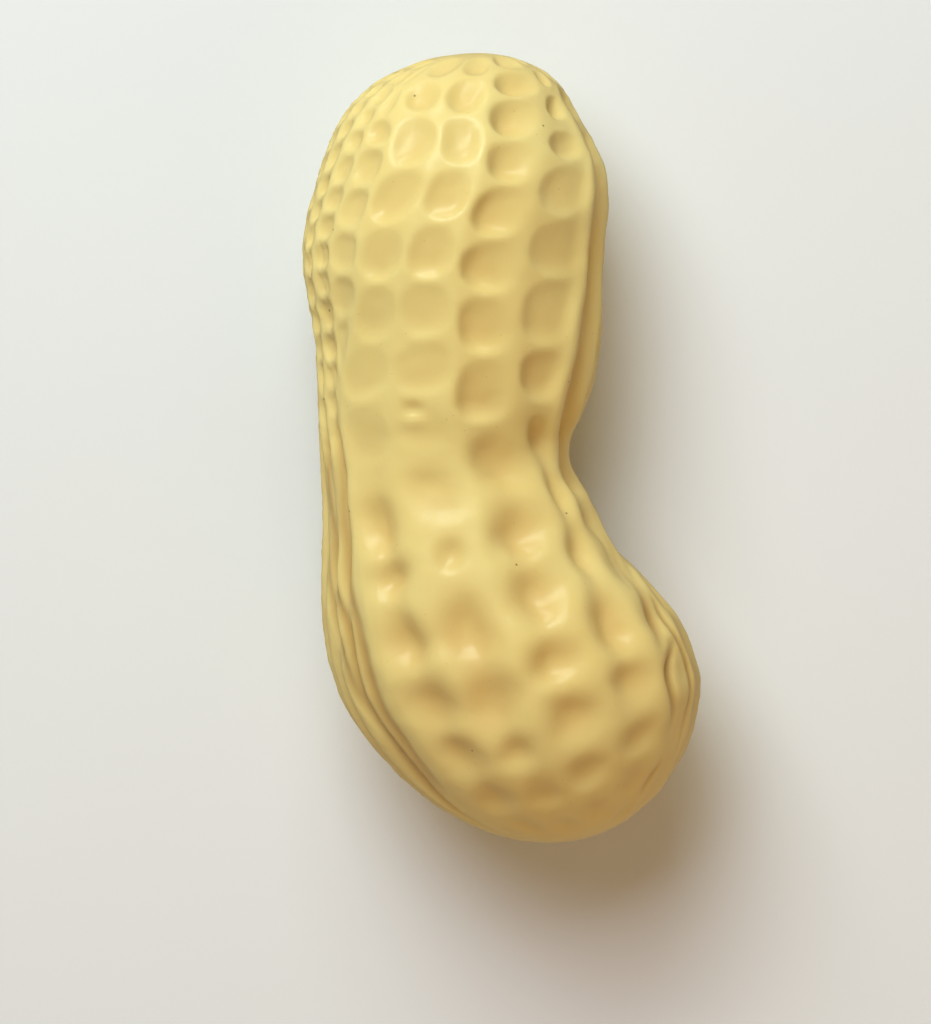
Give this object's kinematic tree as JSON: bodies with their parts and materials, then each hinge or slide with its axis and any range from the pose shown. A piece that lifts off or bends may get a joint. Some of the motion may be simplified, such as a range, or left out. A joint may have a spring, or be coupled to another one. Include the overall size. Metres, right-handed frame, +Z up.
{
  "type": "glazed ceramic peanut",
  "caption": "Large glazed ceramic peanut in its shell, bent at the waist, with long ribs and rows of dimples, lying on a small flat foot under each lobe.",
  "frame": {"origin": "on the surface it lies on, under the middle of its bounding box", "axes": "+X along the peanut towards its smaller lobe, +Z up, -Y the side that the bend is hollow towards"},
  "size_m": [0.1892, 0.0966, 0.0745],
  "materials": {
    "glaze": "gloss"
  },
  "bodies": {
    "root": {"peanut": "glaze"}
  },
  "joints": []
}
